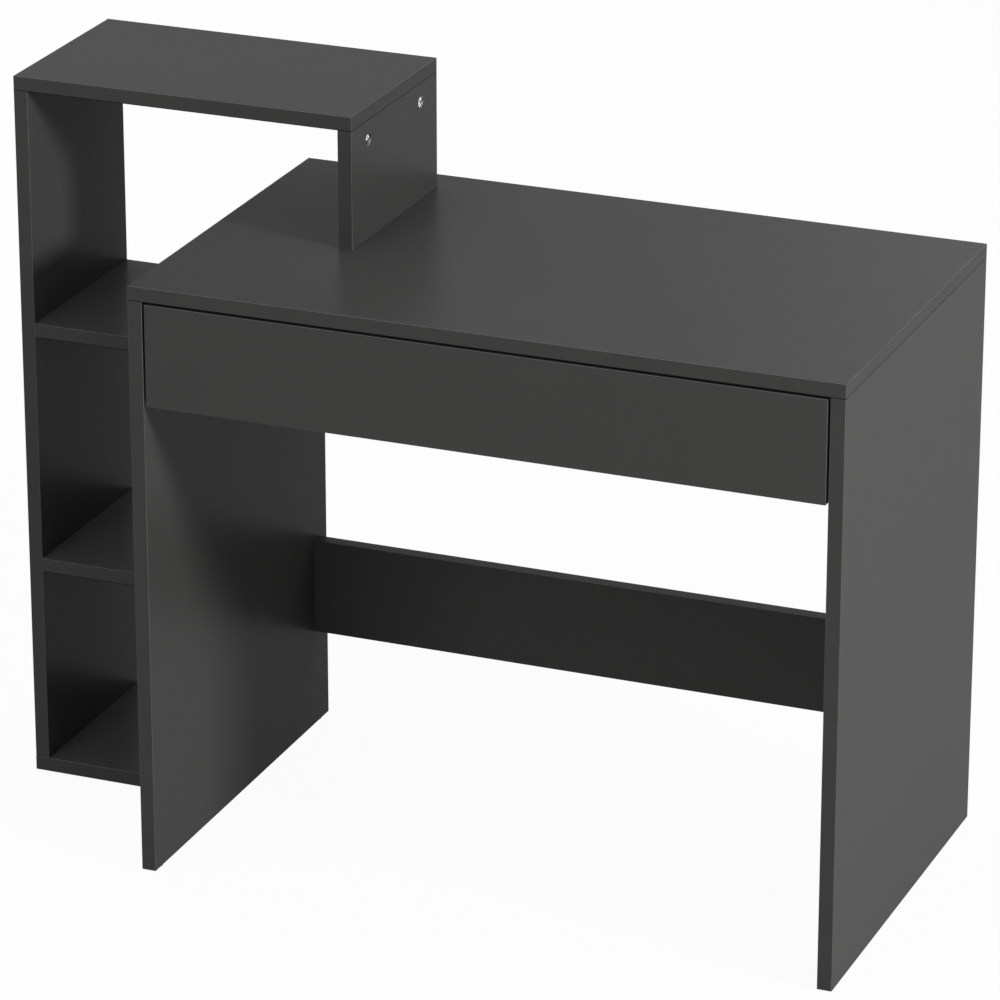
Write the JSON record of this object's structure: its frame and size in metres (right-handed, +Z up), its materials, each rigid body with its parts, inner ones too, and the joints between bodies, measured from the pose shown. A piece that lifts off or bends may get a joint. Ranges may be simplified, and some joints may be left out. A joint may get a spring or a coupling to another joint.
{
  "type": "computer desk",
  "caption": "Computer desk with a set-back side bookcase, a top shelf bridging from it to an upright on the desktop, and a full-width handleless drawer on ball-bearing slides.",
  "frame": {"origin": "on the floor under the middle of the whole desk's width and depth", "axes": "+X to the user's right, +Y to the rear (the drawer front faces -Y), +Z up"},
  "size_m": [1.13, 0.52, 0.914],
  "materials": {
    "melamine_board": "charcoal melamine-faced chipboard, satin",
    "edge_band": "charcoal plastic edge band, satin",
    "drawer_board": "charcoal foil-wrapped drawer board",
    "hardboard": "dark lacquered hardboard, brown fibre at the cut edges",
    "cam_zinc": "bright die-cast zinc",
    "screw_steel": "zinc-plated steel",
    "rail_steel": "zinc-plated rolled sheet",
    "cage_steel": "pressed steel strip with a film of grease",
    "ball_steel": "ground steel balls",
    "bumper_rubber": "black rubber",
    "dowel_wood": "plain beech",
    "glide_plastic": "black moulded plastic"
  },
  "bodies": {
    "carcass": {"back_stretcher": "melamine_board", "back_stretcher_edge_bands": "edge_band", "base_cam_bolts": "screw_steel", "base_cam_nuts": "cam_zinc", "bookcase_base": "melamine_board", "bookcase_base_edge_bands": "edge_band", "bookcase_glides": "glide_plastic", "bookcase_tall_side": "melamine_board", "bookcase_tall_side_cam_nuts": "cam_zinc", "bookcase_tall_side_edge_bands": "edge_band", "carcass_dowels": "dowel_wood", "desk_glides": "glide_plastic", "desk_left_side": "melamine_board", "desk_left_side_cam_nuts": "cam_zinc", "desk_left_side_edge_bands": "edge_band", "desk_right_side": "melamine_board", "desk_right_side_cam_nuts": "cam_zinc", "desk_right_side_edge_bands": "edge_band", "desktop": "melamine_board", "desktop_cam_bolts": "screw_steel", "desktop_edge_bands": "edge_band", "left_outer_rail": "rail_steel", "lower_shelf": "melamine_board", "lower_shelf_edge_bands": "edge_band", "outer_rail_screws": "screw_steel", "right_outer_rail": "rail_steel", "shelf_cam_bolts": "screw_steel", "shelf_cam_nuts": "cam_zinc", "slide_bumpers": "bumper_rubber", "stretcher_cam_bolts": "screw_steel", "stretcher_cam_nuts": "cam_zinc", "tall_side_screws": "screw_steel", "top_shelf": "melamine_board", "top_shelf_cam_bolts": "screw_steel", "top_shelf_edge_bands": "edge_band", "top_shelf_upright": "melamine_board", "top_shelf_upright_cam_nuts": "cam_zinc", "top_shelf_upright_edge_bands": "edge_band", "upper_shelf": "melamine_board", "upper_shelf_edge_bands": "edge_band", "upright_screws": "screw_steel"},
    "drawer": {"drawer_back": "drawer_board", "drawer_back_screws": "screw_steel", "drawer_bottom": "hardboard", "drawer_bottom_screws": "screw_steel", "drawer_cam_bolts": "screw_steel", "drawer_cam_nuts": "cam_zinc", "drawer_dowels": "dowel_wood", "drawer_front": "melamine_board", "drawer_front_edge_bands": "edge_band", "drawer_left_side": "drawer_board", "drawer_right_side": "drawer_board", "inner_rail_screws": "screw_steel", "left_inner_rail": "rail_steel", "right_inner_rail": "rail_steel"},
    "left_cage": {"left_ball_cage": "cage_steel", "left_slide_balls": "ball_steel"},
    "right_cage": {"right_ball_cage": "cage_steel", "right_slide_balls": "ball_steel"}
  },
  "joints": [
    {"name": "drawer_slide", "type": "slide", "parent": "carcass", "child": "drawer", "axis": [0, -1, 0], "range_m": [0, 0.29]},
    {"name": "left_cage_slide", "type": "slide", "parent": "carcass", "child": "left_cage", "axis": [0, -1, 0], "range_m": [0, 0.145]},
    {"name": "right_cage_slide", "type": "slide", "parent": "carcass", "child": "right_cage", "axis": [0, -1, 0], "range_m": [0, 0.145]}
  ],
  "couplings": [
    {"joint": "left_cage_slide", "follows": "drawer_slide", "ratio": 0.5},
    {"joint": "right_cage_slide", "follows": "drawer_slide", "ratio": 0.5}
  ]
}
